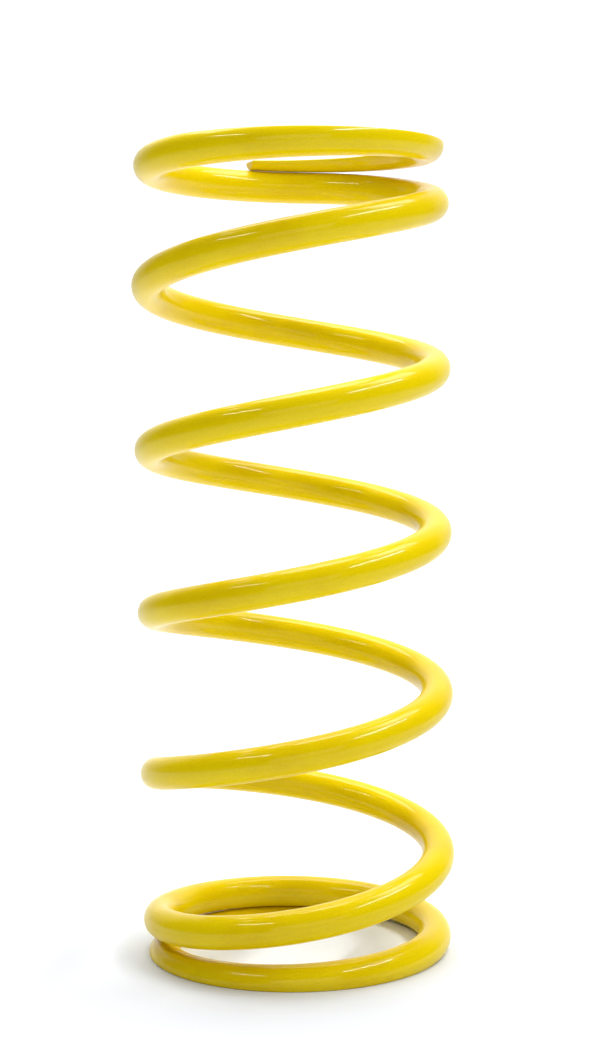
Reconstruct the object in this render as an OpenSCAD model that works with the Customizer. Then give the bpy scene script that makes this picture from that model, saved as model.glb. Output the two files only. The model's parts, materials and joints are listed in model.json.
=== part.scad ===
// Coil-over compression spring with closed and ground ends.
// One right-hand wound bar of round steel wire. It stands on its lower ground end, with the
// spring axis on +Z and the origin where the axis meets that ground face.
// The bar is divided by planes through the axis into regions: a closed end coil at each end
// and quarter turns of active coil between them, because each region travels by its own
// share when the spring is pressed.

/* [Wire] */
// Diameter of the spring wire
wire_d = 8.6; // [6:0.1:11]

/* [Coils] */
// Inside diameter of the closed end coils, which the spring seats locate
end_inside_d = 63.5; // [50:0.1:90]
// Inside diameter of the active coils between the ends
body_inside_d = 66.2; // [50:0.1:95]
// Height from ground face to ground face with no load
free_length = 213; // [150:1:300]
// Turns of wire from tip to tip
total_turns = 7.08; // [6:0.01:9]
// Direction in which the lower tip of the wire ends, in degrees from +X
lower_tip_angle = 79; // [0:1:359]

/* [Closed ends] */
// Gap between an end coil and the coil that it closes against
closed_gap = 0.1; // [0.1:0.05:1]
// Turns at the lower end that are wound closed
lower_closed_turns = 1.04; // [0.8:0.01:1.1]
// Turns over which the lower end opens to the active pitch
lower_ramp_turns = 0.66; // [0.4:0.01:1]
// Turns at the upper end that are wound closed
upper_closed_turns = 1.05; // [0.7:0.01:1.1]
// Turns over which the upper end opens to the active pitch
upper_ramp_turns = 0.16; // [0.15:0.01:1]
// Turns at each end that keep the end coils' diameter
narrow_turns = 0.5; // [0.3:0.05:1]
// Turns over which an end coil widens to the active coils' diameter
widening_turns = 1; // [0.5:0.05:1.5]
// Thickness left at the lower tip once the end is ground flat
lower_tip_t = 1.4; // [1.2:0.1:4]
// Thickness left at the upper tip once the end is ground flat
upper_tip_t = 2.5; // [1.2:0.1:4]

/* [Division] */
// Quarter-turn regions that the active coils are divided into
active_quarters = 20; // [16:1:24]
// Slit between two regions that move past each other
slit = 0.1; // [0.05:0.01:0.2]

/* [Hidden] */
QUARTERS_IN_COIL = 4;
WIRE_SIDES = 18;
STEP_DEG = 7.5;
POWDER_YELLOW = [0.93, 0.82, 0.02];

wire_r = wire_d / 2;
end_r = (end_inside_d + wire_d) / 2;
body_r = (body_inside_d + wire_d) / 2;

// Angles along the wire run from the lower tip, in degrees
whole_deg = 360 * total_turns;
end_coil_deg = 360;
quarter_deg = (whole_deg - 2 * end_coil_deg) / active_quarters;
lower_closed_deg = 360 * lower_closed_turns;
lower_ramp_deg = 360 * lower_ramp_turns;
upper_ramp_deg = 360 * upper_ramp_turns;
upper_ramp_start_deg = whole_deg - 360 * upper_closed_turns - upper_ramp_deg;

// Rise of the wire's centre from tip to tip, and the pitches that make it
tip_z = lower_tip_t - wire_r;
rise = free_length + wire_d - lower_tip_t - upper_tip_t;
closed_pitch = wire_d + closed_gap;
open_deg = opened(whole_deg, lower_closed_deg, lower_ramp_deg)
    - opened(whole_deg, upper_ramp_start_deg, upper_ramp_deg);
extra_pitch = 360 * (rise - closed_pitch * total_turns) / open_deg;

// Name of an active quarter, counted from the lower end
function quarter_name(n) = str(
    "coil_", floor(n / QUARTERS_IN_COIL) + 1,
    "_quarter_", n % QUARTERS_IN_COIL + 1
);

// Cubic step from 0 to 1
function eased(x) = let (u = min(max(x, 0), 1)) u * u * (3 - 2 * u);

// Degrees of fully open winding by angle a, for a ramp that opens from start_deg over ramp_deg:
// the integral of the cubic step
function opened(a, start_deg, ramp_deg) =
    let (u = min(max((a - start_deg) / ramp_deg, 0), 1))
    ramp_deg * (pow(u, 3) - pow(u, 4) / 2) + max(a - start_deg - ramp_deg, 0);

// Height of the wire's centre above the lower ground face
function wire_z(a) =
    tip_z + closed_pitch * a / 360 + extra_pitch / 360
    * (opened(a, lower_closed_deg, lower_ramp_deg) - opened(a, upper_ramp_start_deg, upper_ramp_deg));

// Distance of the wire's centre from the spring axis
function coil_r(a) =
    let (from_tip = min(a, whole_deg - a) / 360)
    end_r + (body_r - end_r) * eased((from_tip - narrow_turns) / widening_turns);

// Pitch at angle a, as rise per turn
function pitch_at(a) = 360 * (wire_z(a + 0.5) - wire_z(a - 0.5));

// One ring of the wire's skin in the plane through the axis at angle a. That plane cuts the
// sloping wire in an ellipse, so the ring is taller than it is wide.
function ring(a) =
    let (
        r = coil_r(a),
        half_h = wire_r * sqrt(1 + pow(pitch_at(a) / (2 * PI * r), 2)),
        turn = lower_tip_angle + a
    )
    [for (k = [0 : WIRE_SIDES - 1])
        let (
            side = 360 * k / WIRE_SIDES,
            out = r + wire_r * cos(side)
        )
        [out * cos(turn), out * sin(turn), wire_z(a) + half_h * sin(side)]
    ];

// Wire from angle a to angle b
module wire(a, b) {
    steps = ceil((b - a) / STEP_DEG);
    rings = [for (n = [0 : steps]) ring(a + (b - a) * n / steps)];
    points = [for (one = rings) each one];
    walls = [for (n = [0 : steps - 1], k = [0 : WIRE_SIDES - 1])
        let (
            here = n * WIRE_SIDES,
            above = here + WIRE_SIDES,
            next = (k + 1) % WIRE_SIDES
        )
        each [
            [here + k, above + k, above + next],
            [here + k, above + next, here + next]
        ]
    ];
    first_cap = [for (k = [0 : WIRE_SIDES - 1]) k];
    last_cap = [for (k = [WIRE_SIDES - 1 : -1 : 0]) steps * WIRE_SIDES + k];
    polyhedron(points = points, faces = concat([first_cap], walls, [last_cap]));
}

// Half the slit, as an angle about the axis
half_slit_deg = slit / 2 / body_r * 180 / PI;

// Angle at which active quarter n starts: the first and last quarters join their end coils
function quarter_start(n) = end_coil_deg + n * quarter_deg;

// Block that a grinding wheel takes away, from height low upwards
module ground_off(low) {
    width = 2 * (end_r + wire_d);
    translate([-width / 2, -width / 2, low]) cube([width, width, 2 * wire_d]);
}

// Closed coil at the bottom, ground flat to stand on its seat
module lower_end_coil() {
    color(POWDER_YELLOW) difference() {
        wire(0, end_coil_deg);
        ground_off(-2 * wire_d);
    }
}

// Active quarter number n
module active_quarter(n) {
    start_slit = n == 0 ? 0 : half_slit_deg;
    end_slit = n == active_quarters - 1 ? 0 : half_slit_deg;
    color(POWDER_YELLOW) wire(quarter_start(n) + start_slit, quarter_start(n + 1) - end_slit);
}

// Closed coil at the top, ground flat under the upper seat
module upper_end_coil() {
    color(POWDER_YELLOW) difference() {
        wire(whole_deg - end_coil_deg, whole_deg);
        ground_off(free_length);
    }
}

lower_end_coil();
for (n = [0 : active_quarters - 1]) {
    active_quarter(n);
}
upper_end_coil();
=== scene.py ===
"""Looks of a coil-over compression spring: one bar of round wire, powder coated, built over its frame."""

import json
import math

import bpy
import numpy as np
from mathutils import Matrix, Vector


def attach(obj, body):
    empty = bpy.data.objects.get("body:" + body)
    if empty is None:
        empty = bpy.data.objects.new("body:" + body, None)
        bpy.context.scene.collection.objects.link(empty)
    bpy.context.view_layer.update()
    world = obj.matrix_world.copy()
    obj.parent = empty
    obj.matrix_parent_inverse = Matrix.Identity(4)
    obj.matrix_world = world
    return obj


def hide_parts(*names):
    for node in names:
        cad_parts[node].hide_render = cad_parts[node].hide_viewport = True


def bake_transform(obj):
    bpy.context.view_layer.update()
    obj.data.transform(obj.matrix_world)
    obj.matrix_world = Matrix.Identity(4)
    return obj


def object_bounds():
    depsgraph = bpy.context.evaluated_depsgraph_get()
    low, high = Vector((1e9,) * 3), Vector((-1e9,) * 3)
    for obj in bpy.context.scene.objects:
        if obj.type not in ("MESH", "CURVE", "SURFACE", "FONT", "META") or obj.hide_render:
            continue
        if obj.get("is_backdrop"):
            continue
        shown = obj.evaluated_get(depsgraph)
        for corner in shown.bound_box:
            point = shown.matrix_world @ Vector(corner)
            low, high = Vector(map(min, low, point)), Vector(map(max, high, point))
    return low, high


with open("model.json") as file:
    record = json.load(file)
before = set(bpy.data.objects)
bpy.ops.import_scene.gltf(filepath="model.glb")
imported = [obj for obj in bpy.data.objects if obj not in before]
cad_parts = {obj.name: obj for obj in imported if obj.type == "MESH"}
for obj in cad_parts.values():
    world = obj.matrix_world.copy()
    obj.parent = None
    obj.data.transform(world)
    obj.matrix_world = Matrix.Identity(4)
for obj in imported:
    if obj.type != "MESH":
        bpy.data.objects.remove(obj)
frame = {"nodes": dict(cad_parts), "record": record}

bl_info = {
    "name": "Coil Spring",
    "version": (1, 0, 0),
    "blender": (4, 5, 0),
    "location": "View3D > Sidebar > Spring",
    "description": "Builds a closed and ground compression spring with a powder coat",
    "category": "Add Mesh",
}

CAD_LOW, CAD_HIGH = (tuple(corner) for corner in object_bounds())
MM = 0.001
TURN = 2 * math.pi
UP = np.array([0, 0, 1.0])

LOWER_BODY = "lower_end"
UPPER_BODY = "upper_end"
LOWER_NODE = "lower_end_coil"
UPPER_NODE = "upper_end_coil"
QUARTER_NODES = sorted(name for name in frame["nodes"] if "_quarter_" in name)

WIRE_SIDES = 48  # segments round the wire
CORNER_SIDES = 4  # segments round the edge of a ground face
FLAT_SIDES = 6  # segments across a ground face
TIP_RINGS = 5  # rings round the edge of a cut tip

SLOPE_STEP = 1e-3  # radians either side, to measure how steeply the wire rises
NORMAL_STEP = 1e-4  # radians either side, to measure the skin's direction along the wire
SAME_POINT = 0.002 * MM  # points closer than this are joined
ON_GRINDING_PLANE = 0.01 * MM  # how near a face lies to the plane to count as ground
LEVEL = 0.99  # upright share of a level face's normal
STILL_SHARE = 1e-5  # wire within this share of an end's travel rides with that end

# Lamps: name, place, what it faces, width and height, power. Metres and watts.
SPRING_MIDDLE = (0, 0, 0.1)
LAMPS = (
    ("right_key", (0.74, -0.3, 1.05), SPRING_MIDDLE, (0.9, 0.06), 8.0),
    ("left_strip", (-0.56, -0.39, 0.85), SPRING_MIDDLE, (0.45, 0.04), 1.6),
    ("front_fill", (0.1, -1.6, 0.45), SPRING_MIDDLE, (1.6, 0.7), 4.2),
    ("overhead_box", (0.1, 0.42, 1.25), (0, 0.05, 0), (1.5, 0.7), 18.0),
    ("backdrop_box", (0.0, 0.3, 1.45), (0, 1.1, 0.5), (1.6, 0.4), 10.0),
)

# The floor runs from its front to a bend, then up a backdrop
FLOOR_HALF_WIDTH = 1.6
FLOOR_FRONT_Y = -1.6
BACKDROP_Y = 1.1
BACKDROP_TOP = 1.6
BEND_RADIUS = 0.35
BEND_STEPS = 12


def pilot_radius():
    """Radius that the end coils fit over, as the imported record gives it."""
    pilot = next(mount for mount in frame["record"]["mounts"] if mount["name"] == "lower_pilot")
    return pilot["dims"]["r_mm"] * MM


class WireSizes(bpy.types.PropertyGroup):
    """Sizes of the wire and how it is wound."""

    wire_diameter: bpy.props.FloatProperty(
        name="Wire diameter", description="Diameter of the spring wire",
        default=8.6 * MM, min=1 * MM, unit="LENGTH",
    )
    end_inside: bpy.props.FloatProperty(
        name="End inside diameter", description="Inside diameter of the closed end coils",
        default=2 * pilot_radius(), min=5 * MM, unit="LENGTH",
    )
    outside: bpy.props.FloatProperty(
        name="Outside diameter", description="Outside diameter of the active coils",
        default=CAD_HIGH[0] - CAD_LOW[0], min=10 * MM, unit="LENGTH",
    )
    free_length: bpy.props.FloatProperty(
        name="Free length", description="Height from ground face to ground face with no load",
        default=CAD_HIGH[2] - CAD_LOW[2], min=20 * MM, unit="LENGTH",
    )
    turns: bpy.props.FloatProperty(
        name="Turns", description="Turns of wire from tip to tip", default=7.08, min=3,
    )
    lower_tip_angle: bpy.props.FloatProperty(
        name="Lower tip angle", description="Direction in which the lower tip ends, from +X",
        default=math.radians(79), subtype="ANGLE",
    )
    closed_gap: bpy.props.FloatProperty(
        name="Closed gap", description="Gap between an end coil and the coil it closes against",
        default=0, min=0, unit="LENGTH",
    )
    lower_closed: bpy.props.FloatProperty(
        name="Lower closed turns", description="Turns at the lower end that are wound closed",
        default=1.04, min=0.5,
    )
    upper_closed: bpy.props.FloatProperty(
        name="Upper closed turns", description="Turns at the upper end that are wound closed",
        default=1.05, min=0.5,
    )
    lower_ramp: bpy.props.FloatProperty(
        name="Lower ramp", description="Turns over which the lower end opens", default=0.66, min=0.1,
    )
    upper_ramp: bpy.props.FloatProperty(
        name="Upper ramp", description="Turns over which the upper end opens", default=0.16, min=0.1,
    )
    narrow_turns: bpy.props.FloatProperty(
        name="Narrow turns", description="Turns at each end that keep the end coils' diameter",
        default=0.5, min=0.1,
    )
    widening_turns: bpy.props.FloatProperty(
        name="Widening turns", description="Turns over which an end coil widens",
        default=1, min=0.1,
    )
    lower_tip_thickness: bpy.props.FloatProperty(
        name="Lower tip thickness", description="Thickness left at the ground lower tip",
        default=1.4 * MM, min=0.5 * MM, unit="LENGTH",
    )
    upper_tip_thickness: bpy.props.FloatProperty(
        name="Upper tip thickness", description="Thickness left at the ground upper tip",
        default=2.5 * MM, min=0.5 * MM, unit="LENGTH",
    )
    edge_radius: bpy.props.FloatProperty(
        name="Edge radius", description="Radius of the coated edges of ground faces and tips",
        default=0.45 * MM, min=0.05 * MM, unit="LENGTH",
    )
    pieces_per_quarter: bpy.props.IntProperty(
        name="Pieces per quarter", description="Lengths of wire that bend on their own in a quarter",
        default=4, min=1, max=8,
    )
    ring_step: bpy.props.FloatProperty(
        name="Ring step", description="Largest turn from one ring of the skin to the next",
        default=math.radians(2), subtype="ANGLE",
    )


class CoatFinish(bpy.types.PropertyGroup):
    """Colours and texture of the powder coat."""

    colour: bpy.props.FloatVectorProperty(
        name="Colour", description="Colour of the coat where it is thick",
        default=(0.84, 0.63, 0.0), subtype="COLOR", min=0, max=1,
    )
    thin_colour: bpy.props.FloatVectorProperty(
        name="Thin colour", description="Colour of the coat where it is thin",
        default=(0.79, 0.56, 0.0), subtype="COLOR", min=0, max=1,
    )
    roughness: bpy.props.FloatProperty(
        name="Roughness", description="Roughness of the coat", default=0.36, min=0, max=1,
        subtype="FACTOR",
    )
    gloss: bpy.props.FloatProperty(
        name="Gloss", description="Weight of the clear flow on the skin of the coat",
        default=0.4, min=0, max=1, subtype="FACTOR",
    )
    film_scale: bpy.props.FloatProperty(
        name="Film scale", description="Thick and thin places of the coat per metre",
        default=45.0, min=0,
    )
    grain_size: bpy.props.FloatProperty(
        name="Grain size", description="Width of one grain of the coat",
        default=0.35 * MM, min=0.05 * MM, unit="LENGTH",
    )
    peel_size: bpy.props.FloatProperty(
        name="Peel size", description="Width of one dimple of the orange peel",
        default=1.1 * MM, min=0.1 * MM, unit="LENGTH",
    )
    peel_depth: bpy.props.FloatProperty(
        name="Peel depth", description="Depth of the orange peel",
        default=0.012 * MM, min=0, unit="LENGTH",
    )
    grinding_size: bpy.props.FloatProperty(
        name="Grinding size", description="Spacing of the grinding lines under the coat",
        default=0.4 * MM, min=0.1 * MM, unit="LENGTH",
    )
    grinding_depth: bpy.props.FloatProperty(
        name="Grinding depth", description="Depth of the grinding lines as they show in the coat",
        default=0.01 * MM, min=0, unit="LENGTH",
    )


class StudioLook(bpy.types.PropertyGroup):
    """Camera, floor and lights."""

    camera_distance: bpy.props.FloatProperty(
        name="Camera distance", description="Distance from the camera to the spring's axis",
        default=0.5209, unit="LENGTH",
    )
    camera_height: bpy.props.FloatProperty(
        name="Camera height", description="Height of the camera over the floor",
        default=0.1491, unit="LENGTH",
    )
    camera_pitch: bpy.props.FloatProperty(
        name="Camera pitch", description="How far the camera looks down",
        default=math.radians(4.2), subtype="ANGLE",
    )
    camera_roll: bpy.props.FloatProperty(
        name="Camera roll", description="How far the camera leans to its right",
        default=math.radians(0.77), subtype="ANGLE",
    )
    lens: bpy.props.FloatProperty(
        name="Lens", description="Focal length in millimetres for a 36 mm long side", default=66.9,
    )
    shift: bpy.props.FloatVectorProperty(
        name="Shift", description="Shift of the frame, in shares of its long side",
        size=2, default=(0.0057, 0.0047),
    )
    floor_colour: bpy.props.FloatVectorProperty(
        name="Floor colour", description="Colour of the floor and backdrop",
        default=(0.76, 0.79, 0.85), subtype="COLOR", min=0, max=1,
    )
    air_level: bpy.props.FloatProperty(
        name="Air level", description="Strength of the light from all round", default=0.06, min=0,
    )
    light_level: bpy.props.FloatProperty(
        name="Light level", description="Factor on the power of every lamp", default=1.0, min=0,
    )


# The winding law. Angles along the wire are in radians from the lower tip.

def eased(x):
    """Cubic step from 0 to 1."""
    u = np.clip(x, 0, 1)
    return u * u * (3 - 2 * u)


def uneased(share):
    """Where the cubic step has the given share."""
    return 0.5 - math.sin(math.asin(1 - 2 * min(max(share, 0), 1)) / 3)


def opened(angle, start, ramp):
    """Angle of fully open winding by an angle, for a ramp that opens from start."""
    u = np.clip((angle - start) / ramp, 0, 1)
    return ramp * (u**3 - u**4 / 2) + np.maximum(angle - start - ramp, 0)


class Winding:
    """The line of the wire, worked out from the sizes."""

    def __init__(self, sizes):
        self.wire_r = sizes.wire_diameter / 2
        self.end_r = sizes.end_inside / 2 + self.wire_r
        self.body_r = sizes.outside / 2 - self.wire_r
        self.whole = TURN * sizes.turns
        self.top = sizes.free_length
        self.tip_angle = sizes.lower_tip_angle
        self.narrow = TURN * sizes.narrow_turns
        self.widening = TURN * sizes.widening_turns
        upper_ramp = TURN * sizes.upper_ramp
        upper_start = self.whole - TURN * sizes.upper_closed - upper_ramp
        self.lower_opening = (TURN * sizes.lower_closed, TURN * sizes.lower_ramp)
        self.upper_opening = (upper_start, upper_ramp)
        self.closed_rise = (sizes.wire_diameter + sizes.closed_gap) / TURN
        self.tip_z = sizes.lower_tip_thickness - self.wire_r
        tip_thickness = sizes.lower_tip_thickness + sizes.upper_tip_thickness
        rise = sizes.free_length + sizes.wire_diameter - tip_thickness
        self.open_angle = self.open_by(self.whole)
        self.extra_rise = (rise - self.closed_rise * self.whole) / self.open_angle

    def open_by(self, angle):
        """Angle of fully open winding up to an angle, with both ends' ramps."""
        return opened(angle, *self.lower_opening) - opened(angle, *self.upper_opening)

    def travel_share(self, angle):
        """Share of the upper end's travel that the wire makes at an angle."""
        return self.open_by(angle) / self.open_angle

    def height(self, angle):
        """Height of the wire's centre over the lower ground face."""
        return self.tip_z + self.closed_rise * angle + self.extra_rise * self.open_by(angle)

    def radius(self, angle):
        """Distance of the wire's centre from the axis."""
        from_tip = np.minimum(angle, self.whole - angle)
        widened = eased((from_tip - self.narrow) / self.widening)
        return self.end_r + (self.body_r - self.end_r) * widened

    def stretch(self, angle):
        """Height of the upright cut through the sloping wire, over its width."""
        rise = self.height(angle + SLOPE_STEP) - self.height(angle - SLOPE_STEP)
        slope = rise / (2 * SLOPE_STEP)
        return math.sqrt(1 + (slope / self.radius(angle)) ** 2)

    def outward(self, angle):
        """Level direction from the axis to the wire."""
        turned = self.tip_angle + angle
        return np.array([math.cos(turned), math.sin(turned), 0.0])

    def onward(self, angle):
        """Level direction along the wire."""
        out = self.outward(angle)
        return np.array([-out[1], out[0], 0.0])

    def centre(self, angle):
        """Middle of the wire."""
        return self.outward(angle) * self.radius(angle) + [0, 0, self.height(angle)]


def section(radius, depth, edge, inset):
    """Outline of the wire's section as (out, toward the ground face, direction of its surface).

    The ground face lies at depth from the centre, and its corners are rounded by edge. The
    outline is drawn inset from the true one.
    """
    inner = radius - edge
    centre_v = min(depth - edge, inner)
    centre_x = math.sqrt(max(inner**2 - centre_v**2, 0))
    corner = math.atan2(centre_v, centre_x)
    whole_arc = np.linspace(math.pi - corner, TURN + corner, WIRE_SIDES + 1)
    right = np.linspace(corner, math.pi / 2, CORNER_SIDES + 1)[1:]
    left = np.linspace(math.pi / 2, math.pi - corner, CORNER_SIDES + 1)[:-1]
    across = np.linspace(centre_x, -centre_x, FLAT_SIDES + 1)[1:-1]
    small = edge - inset

    def arc(x, v, r, turn):
        return np.stack([x + r * np.cos(turn), v + r * np.sin(turn), turn], 1)

    face = np.ones_like(across)
    return np.concatenate([
        arc(0, 0, radius - inset, whole_arc),
        arc(centre_x, centre_v, small, right),
        np.stack([across, face * (centre_v + small), face * math.pi / 2], 1),
        arc(-centre_x, centre_v, small, left),
    ])


def unit(rows):
    """The rows, each made one long."""
    return rows / np.linalg.norm(rows, axis=1, keepdims=True)


class Skin:
    """Rings of the wire's skin, with the ground face of one end or with none."""

    def __init__(self, winding, edge, ground=None):
        self.winding = winding
        self.edge = edge
        self.ground = ground

    def outline(self, angle, inset=0.0):
        """The section at an angle as (out, up, direction of the surface), with up stretched."""
        w = self.winding
        k = w.stretch(angle)
        side = 1 if self.ground == UPPER_BODY else -1
        if self.ground == UPPER_BODY:
            depth = (w.top - w.height(angle)) / k
        elif self.ground == LOWER_BODY:
            depth = w.height(angle) / k
        else:
            depth = 2 * w.wire_r  # a plane that misses the wire
        flat = section(w.wire_r, depth, self.edge, inset)
        flat[:, 1] *= side * k
        return flat, side, k

    def ring(self, angle, inset=0.0):
        """Points of the skin at an angle."""
        flat, _, _ = self.outline(angle, inset)
        w = self.winding
        return w.centre(angle) + flat[:, :1] * w.outward(angle) + flat[:, 1:2] * UP

    def normals(self, angle):
        """Outward normals of the ring, from the surface's two directions."""
        w = self.winding
        low, high = max(angle - NORMAL_STEP, 0), min(angle + NORMAL_STEP, w.whole)
        along = (self.ring(high) - self.ring(low)) / (high - low)
        flat, side, k = self.outline(angle)
        turn = flat[:, 2:3]
        across = -np.sin(turn) * w.outward(angle) + side * k * np.cos(turn) * UP
        return unit(np.cross(along, across) * side)


def tip_rings(skin, angle, into):
    """Rings round the edge of a cut tip, from its face inwards. into is the way into the wire."""
    w = skin.winding
    rings, normals = [], []
    for t in np.linspace(math.pi / 2, 0, TIP_RINGS):
        here = angle + into * skin.edge * (1 - math.sin(t)) / w.radius(angle)
        rings.append(skin.ring(here, skin.edge * (1 - math.cos(t))))
        normals.append(unit(skin.normals(here) * math.cos(t) - into * math.sin(t) * w.onward(here)))
    return rings, normals


def wire_mesh(name, skin, start, end, step):
    """A closed length of wire from one angle to another. Its tips, if any, have rounded edges."""
    w = skin.winding
    rings, normals = [], []
    last_rings, last_normals = [], []
    first, last = start, end
    if start <= 0:
        rings, normals = tip_rings(skin, start, 1)
        first = start + skin.edge / w.radius(start)
    if end >= w.whole:
        last_rings, last_normals = tip_rings(skin, end, -1)
        last = end - skin.edge / w.radius(end)
    count = max(math.ceil((last - first) / step), 1)
    angles = [first + (last - first) * n / count for n in range(count + 1)]
    if rings:
        angles = angles[1:]
    if last_rings:
        angles = angles[:-1]
    for angle in angles:
        rings.append(skin.ring(angle))
        normals.append(skin.normals(angle))
    rings += last_rings[::-1]
    normals += last_normals[::-1]
    return closed_skin(name, rings, normals, (-w.onward(start), w.onward(end)))


def closed_skin(name, rings, normals, cap_normals):
    """One closed mesh over the rings, with equal points joined and its own smooth normals."""
    points = np.concatenate(rings)
    smooth = np.concatenate(normals)
    sides = len(rings[0])
    last_row = (len(rings) - 1) * sides
    keys = np.round(points / SAME_POINT).astype(np.int64)
    _, first, same = np.unique(keys, axis=0, return_index=True, return_inverse=True)
    order = np.argsort(first)
    place = np.empty(len(order), int)
    place[order] = np.arange(len(order))
    joined = place[same.ravel()]
    kept = first[order]
    faces, cap_flags = [], []

    def add(corners, cap):
        """Adds a face unless joining its points has closed it up."""
        corners = [int(joined[c]) for c in corners]
        one = [c for n, c in enumerate(corners) if c != corners[n - 1]]
        if len(set(one)) == len(one) >= 3:
            faces.append(one)
            cap_flags.append(cap)

    for row in range(0, last_row, sides):
        for k in range(sides):
            here, after = row + k, row + (k + 1) % sides
            add([here, after, after + sides, here + sides], 0)
    add(list(range(sides))[::-1], 1)
    add([last_row + k for k in range(sides)], 2)
    corners = points[kept]
    a, b, c = corners[faces[0][:3]]
    if np.dot(np.cross(b - a, c - a), smooth[kept[faces[0][0]]]) < 0:
        faces = [face[::-1] for face in faces]
    mesh = bpy.data.meshes.new(name)
    mesh.from_pydata(corners.tolist(), [], faces)
    mesh.validate()
    mesh.shade_smooth()
    loop_normals = []
    for polygon, cap in zip(mesh.polygons, cap_flags):
        for vertex in polygon.vertices:
            normal = cap_normals[cap - 1] if cap else smooth[kept[vertex]]
            loop_normals.append(tuple(normal))
    mesh.normals_split_custom_set(loop_normals)
    piece = bpy.data.objects.new(name, mesh)
    bpy.context.scene.collection.objects.link(piece)
    return piece


# The powder coat

def node(tree, kind, place, **inputs):
    """A shader node with its sockets set by name."""
    made = tree.nodes.new(kind)
    made.location = place
    for key, value in inputs.items():
        made.inputs[key.replace("_", " ")].default_value = value
    return made


def remap(tree, place, source, old, new=(0.0, 1.0)):
    """A node that maps a texture's old range of values to a new one."""
    made = tree.nodes.new("ShaderNodeMapRange")
    made.location = place
    for key, value in zip(("From Min", "From Max", "To Min", "To Max"), (*old, *new)):
        made.inputs[key].default_value = value
    tree.links.new(source.outputs["Fac"], made.inputs["Value"])
    return made


def bump(tree, place, source, depth, below=None):
    """A bump node of the given depth, laid over the one below."""
    made = node(tree, "ShaderNodeBump", place, Strength=1.0, Distance=depth)
    tree.links.new(source.outputs["Fac"], made.inputs["Height"])
    if below:
        tree.links.new(below.outputs["Normal"], made.inputs["Normal"])
    return made


def powder_coat(finish, name="gloss_powder_coat", ground=False):
    """Gloss powder coat: orange peel, fine grain and a slow change of film thickness.

    On a ground face the lines of the grinding wheel still show through the coat.
    """
    material = bpy.data.materials.get(name)
    if material:
        return material
    material = bpy.data.materials.new(name)
    material.use_nodes = True
    tree = material.node_tree
    shader = tree.nodes["Principled BSDF"]
    shader.inputs["Specular IOR Level"].default_value = 0.03
    shader.inputs["Coat Weight"].default_value = finish.gloss
    shader.inputs["Coat Roughness"].default_value = 0.07
    place = tree.nodes.new("ShaderNodeTexCoord")
    place.location = (-1300, 0)

    film = node(
        tree, "ShaderNodeTexNoise", (-1000, 300), Scale=finish.film_scale, Detail=3.0, Roughness=0.55,
    )
    grain = node(tree, "ShaderNodeTexNoise", (-1000, 0), Scale=1.0 / finish.grain_size, Detail=2.0)
    peel = node(tree, "ShaderNodeTexNoise", (-1000, -300), Scale=1.0 / finish.peel_size, Detail=1.5)
    for texture in (film, grain, peel):
        tree.links.new(place.outputs["Object"], texture.inputs["Vector"])

    thickness = remap(tree, (-780, 300), film, (0.3, 0.7))
    tone = tree.nodes.new("ShaderNodeValToRGB")
    tone.location = (-560, 300)
    thin, thick = tone.color_ramp.elements
    thin.color = (*finish.thin_colour, 1)
    thick.color = (*finish.colour, 1)
    thick.position = 0.6
    tree.links.new(thickness.outputs["Result"], tone.inputs["Fac"])

    speckle = remap(tree, (-560, 0), grain, (0.25, 0.75), (0.93, 1.04))
    colour = tree.nodes.new("ShaderNodeVectorMath")
    colour.operation = "MULTIPLY"
    colour.location = (-280, 200)
    tree.links.new(tone.outputs["Color"], colour.inputs[0])
    tree.links.new(speckle.outputs["Result"], colour.inputs[1])
    tree.links.new(colour.outputs["Vector"], shader.inputs["Base Color"])

    rough_range = (finish.roughness - 0.04, finish.roughness + 0.06)
    rough = remap(tree, (-280, -50), grain, (0.3, 0.7), rough_range)
    tree.links.new(rough.outputs["Result"], shader.inputs["Roughness"])

    dimples = bump(tree, (-280, -350), peel, finish.peel_depth)
    surface = bump(tree, (-60, -350), grain, finish.peel_depth / 5, dimples)
    if ground:
        lines = node(tree, "ShaderNodeTexWave", (-1000, -600), Distortion=3.0, Detail=3.0)
        lines.inputs["Scale"].default_value = 0.3 / finish.grinding_size
        lines.bands_direction = "DIAGONAL"
        tree.links.new(place.outputs["Object"], lines.inputs["Vector"])
        surface = bump(tree, (160, -350), lines, finish.grinding_depth, surface)
    tree.links.new(surface.outputs["Normal"], shader.inputs["Normal"])
    return material


def coat(piece, finish, ground_z=None):
    """Coats a piece. Faces that lie on the grinding plane get the coat with grinding lines."""
    mesh = piece.data
    mesh.materials.append(powder_coat(finish))
    if ground_z is None:
        return
    mesh.materials.append(powder_coat(finish, "ground_powder_coat", ground=True))
    for polygon in mesh.polygons:
        on_plane = abs(polygon.center.z - ground_z) < ON_GRINDING_PLANE
        if on_plane and abs(polygon.normal.z) > LEVEL:
            polygon.material_index = 1


def end_coil(node_name, body, start, end):
    """A closed end coil with its ground face, riding on its body."""
    scene = bpy.context.scene
    sizes, finish = scene.spring_wire, scene.spring_coat
    winding = Winding(sizes)
    skin = Skin(winding, sizes.edge_radius, body)
    piece = wire_mesh(node_name + "_coated", skin, start, end, sizes.ring_step)
    coat(piece, finish, 0.0 if body == LOWER_BODY else winding.top)
    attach(piece, body)
    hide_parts(node_name)


class SPRING_OT_lower_end_coil(bpy.types.Operator):
    """Closed coil at the bottom, ground flat to stand on its seat"""

    bl_idname = "spring.lower_end_coil"
    bl_label = "Lower End Coil"

    def execute(self, context):
        end_coil(LOWER_NODE, LOWER_BODY, 0, TURN)
        return {"FINISHED"}


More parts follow.
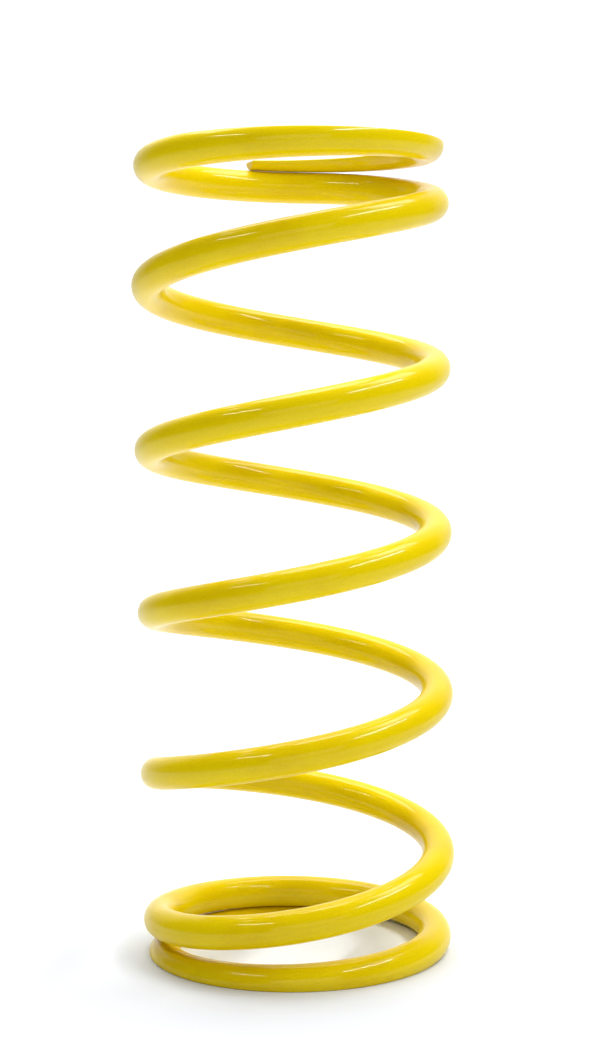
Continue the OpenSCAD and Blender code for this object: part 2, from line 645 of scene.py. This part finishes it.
class SPRING_OT_upper_end_coil(bpy.types.Operator):
    """Closed coil at the top, ground flat under the upper seat"""

    bl_idname = "spring.upper_end_coil"
    bl_label = "Upper End Coil"

    def execute(self, context):
        whole = Winding(context.scene.spring_wire).whole
        end_coil(UPPER_NODE, UPPER_BODY, whole - TURN, whole)
        return {"FINISHED"}


def bend_with_travel(piece, winding, start, end):
    """Attaches a length of wire that stays with one end to that end's body. Any other length is left
    unattached: the line along which it would travel is worked out but not used, and its place is baked
    into its mesh.
    """
    shares = [float(winding.travel_share(angle)) for angle in (start, end)]
    if shares[1] < STILL_SHARE:
        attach(piece, LOWER_BODY)
        return
    if shares[0] > 1 - STILL_SHARE:
        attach(piece, UPPER_BODY)
        return
    low, high = (uneased(share) for share in shares)
    chord = winding.centre(end) - winding.centre(start)
    chord[2] = 0
    reach = chord / (high - low)
    origin = winding.centre(start) - reach * low
    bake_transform(piece)


class SPRING_OT_active_coils(bpy.types.Operator):
    """Active coils between the end coils, in short lengths of wire"""

    bl_idname = "spring.active_coils"
    bl_label = "Active Coils"

    def execute(self, context):
        sizes, finish = context.scene.spring_wire, context.scene.spring_coat
        winding = Winding(sizes)
        skin = Skin(winding, sizes.edge_radius)
        lengths = sizes.pieces_per_quarter
        step = (winding.whole - 2 * TURN) / (len(QUARTER_NODES) * lengths)
        for n, node_name in enumerate(QUARTER_NODES):
            for part in range(lengths):
                start = TURN + (n * lengths + part) * step
                name = f"{node_name}_length_{part + 1}"
                piece = wire_mesh(name, skin, start, start + step, sizes.ring_step)
                coat(piece, finish)
                bend_with_travel(piece, winding, start, start + step)
                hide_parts(node_name)
        return {"FINISHED"}


def lamp(name, place, target, size, power):
    """A soft box that faces its target."""
    light = bpy.data.lights.new(name, "AREA")
    light.shape = "RECTANGLE"
    light.size, light.size_y = size
    light.energy = power * bpy.context.scene.spring_studio.light_level
    made = bpy.data.objects.new(name, light)
    made.location = place
    made.rotation_euler = (Vector(target) - Vector(place)).to_track_quat("-Z", "Y").to_euler()
    bpy.context.scene.collection.objects.link(made)


def studio_floor(look):
    """Pale floor that curves up into a backdrop."""
    bend_y = BACKDROP_Y - BEND_RADIUS
    profile = [(FLOOR_FRONT_Y, 0.0), (bend_y, 0.0)]
    for n in range(1, BEND_STEPS + 1):
        turn = math.pi / 2 * n / BEND_STEPS
        profile.append((bend_y + BEND_RADIUS * math.sin(turn), BEND_RADIUS * (1 - math.cos(turn))))
    profile.append((BACKDROP_Y, BACKDROP_TOP))
    points = [(x, y, z) for y, z in profile for x in (-FLOOR_HALF_WIDTH, FLOOR_HALF_WIDTH)]
    faces = [(2 * n, 2 * n + 1, 2 * n + 3, 2 * n + 2) for n in range(len(profile) - 1)]
    mesh = bpy.data.meshes.new("studio_floor")
    mesh.from_pydata(points, [], faces)
    mesh.shade_smooth()
    material = bpy.data.materials.new("pale_paper")
    material.use_nodes = True
    shader = material.node_tree.nodes["Principled BSDF"]
    shader.inputs["Base Color"].default_value = (*look.floor_colour, 1)
    shader.inputs["Roughness"].default_value = 0.9
    mesh.materials.append(material)
    floor = bpy.data.objects.new("studio_floor", mesh)
    bpy.context.scene.collection.objects.link(floor)
    floor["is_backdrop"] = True


def camera(look):
    """Camera that looks along +Y and a little down."""
    made = bpy.data.objects.new("camera", bpy.data.cameras.new("camera"))
    made.data.sensor_width = 36
    made.data.sensor_fit = "AUTO"
    made.data.lens = look.lens
    made.data.shift_x, made.data.shift_y = look.shift
    made.data.clip_start = 0.01
    place = Matrix.Translation((0, -look.camera_distance, look.camera_height))
    upright = Matrix.Rotation(math.pi / 2 - look.camera_pitch, 4, "X")
    made.matrix_world = place @ upright @ Matrix.Rotation(-look.camera_roll, 4, "Z")
    bpy.context.scene.collection.objects.link(made)
    bpy.context.scene.camera = made


class SPRING_OT_studio(bpy.types.Operator):
    """Pale floor, soft lights and the camera"""

    bl_idname = "spring.studio"
    bl_label = "Studio"

    def execute(self, context):
        look = context.scene.spring_studio
        camera(look)
        studio_floor(look)
        for each in LAMPS:
            lamp(*each)
        world = bpy.data.worlds.new("studio_air")
        context.scene.world = world
        world.use_nodes = True
        air = world.node_tree.nodes["Background"]
        air.inputs["Color"].default_value = (1, 1, 1, 1)
        air.inputs["Strength"].default_value = look.air_level
        context.scene.view_settings.view_transform = "Standard"
        return {"FINISHED"}


class SPRING_PT_panel(bpy.types.Panel):
    """The spring's sizes, finish and steps"""

    bl_idname = "SPRING_PT_panel"
    bl_label = "Coil Spring"
    bl_space_type = "VIEW_3D"
    bl_region_type = "UI"
    bl_category = "Spring"

    def draw(self, context):
        scene = context.scene
        groups = {"Wire": scene.spring_wire, "Coat": scene.spring_coat, "Studio": scene.spring_studio}
        for title, group in groups.items():
            box = self.layout.box()
            box.label(text=title)
            for prop in group.bl_rna.properties:
                if not prop.is_readonly and prop.identifier != "name":
                    box.prop(group, prop.identifier)
        for step in STEPS:
            self.layout.operator(step.bl_idname)


STEPS = (
    SPRING_OT_studio,
    SPRING_OT_lower_end_coil,
    SPRING_OT_active_coils,
    SPRING_OT_upper_end_coil,
)
CLASSES = (WireSizes, CoatFinish, StudioLook, *STEPS, SPRING_PT_panel)


def register():
    for made in CLASSES:
        bpy.utils.register_class(made)
    bpy.types.Scene.spring_wire = bpy.props.PointerProperty(type=WireSizes)
    bpy.types.Scene.spring_coat = bpy.props.PointerProperty(type=CoatFinish)
    bpy.types.Scene.spring_studio = bpy.props.PointerProperty(type=StudioLook)


def unregister():
    del bpy.types.Scene.spring_studio
    del bpy.types.Scene.spring_coat
    del bpy.types.Scene.spring_wire
    for made in reversed(CLASSES):
        bpy.utils.unregister_class(made)


def main():
    register()
    bpy.ops.spring.studio()
    bpy.ops.spring.lower_end_coil()
    bpy.ops.spring.active_coils()
    bpy.ops.spring.upper_end_coil()


if __name__ == "__main__":
    main()
